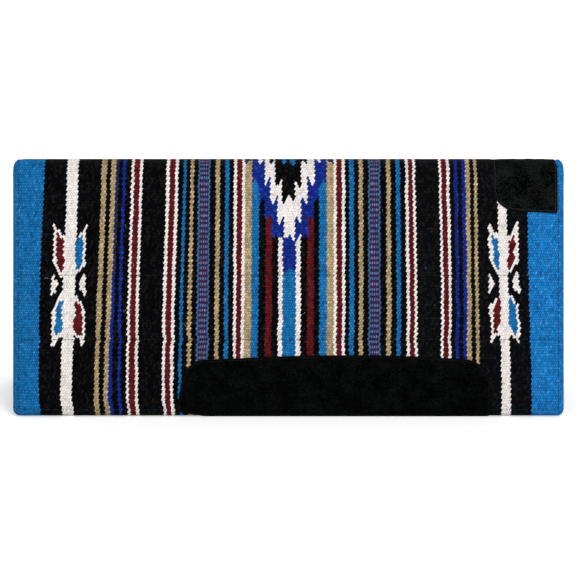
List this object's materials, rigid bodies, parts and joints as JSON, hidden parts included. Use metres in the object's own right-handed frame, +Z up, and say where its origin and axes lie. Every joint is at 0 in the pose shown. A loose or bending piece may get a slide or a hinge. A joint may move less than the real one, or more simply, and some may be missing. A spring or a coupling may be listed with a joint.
{
  "type": "felt saddle pad",
  "caption": "Square saddle pad of thick felt under a striped woven wool cover, folded over the spine, with wear leathers at the withers and fenders.",
  "frame": {"origin": "on the floor under the middle of the pad, as it stands over its fold", "axes": "+X to the front, the end that lies towards the horse's head; +Y to the near flap, the horse's left; +Z up"},
  "size_m": [0.9144, 0.266, 0.4096],
  "materials": {
    "woven_cover": "thick weft-faced wool weave in stripes, blue with black, white, maroon and tan",
    "felt": "dense pressed wool felt, heather grey",
    "wear_leather": "black suede with a short nap"
  },
  "bodies": {
    "spine": {"cover_spine": "woven_cover", "felt_spine": "felt", "withers_leather_spine": "wear_leather"},
    "off_flap": {"cover_off_flap": "woven_cover", "felt_off_flap": "felt", "withers_leather_off_flap": "wear_leather", "fender_leather_off_flap": "wear_leather"},
    "near_flap": {"cover_near_flap": "woven_cover", "felt_near_flap": "felt", "withers_leather_near_flap": "wear_leather", "fender_leather_near_flap": "wear_leather"}
  },
  "joints": [
    {"name": "off_flap_fold", "type": "hinge", "parent": "spine", "child": "off_flap", "pos_m": [0, -0.03506, 0.38273], "axis": [-1, 0, 0], "range_deg": [-15, 75], "stiffness_Nm_per_rad": 12},
    {"name": "near_flap_fold", "type": "hinge", "parent": "spine", "child": "near_flap", "pos_m": [0, 0.03506, 0.38273], "axis": [1, 0, 0], "range_deg": [-15, 75], "stiffness_Nm_per_rad": 12}
  ]
}
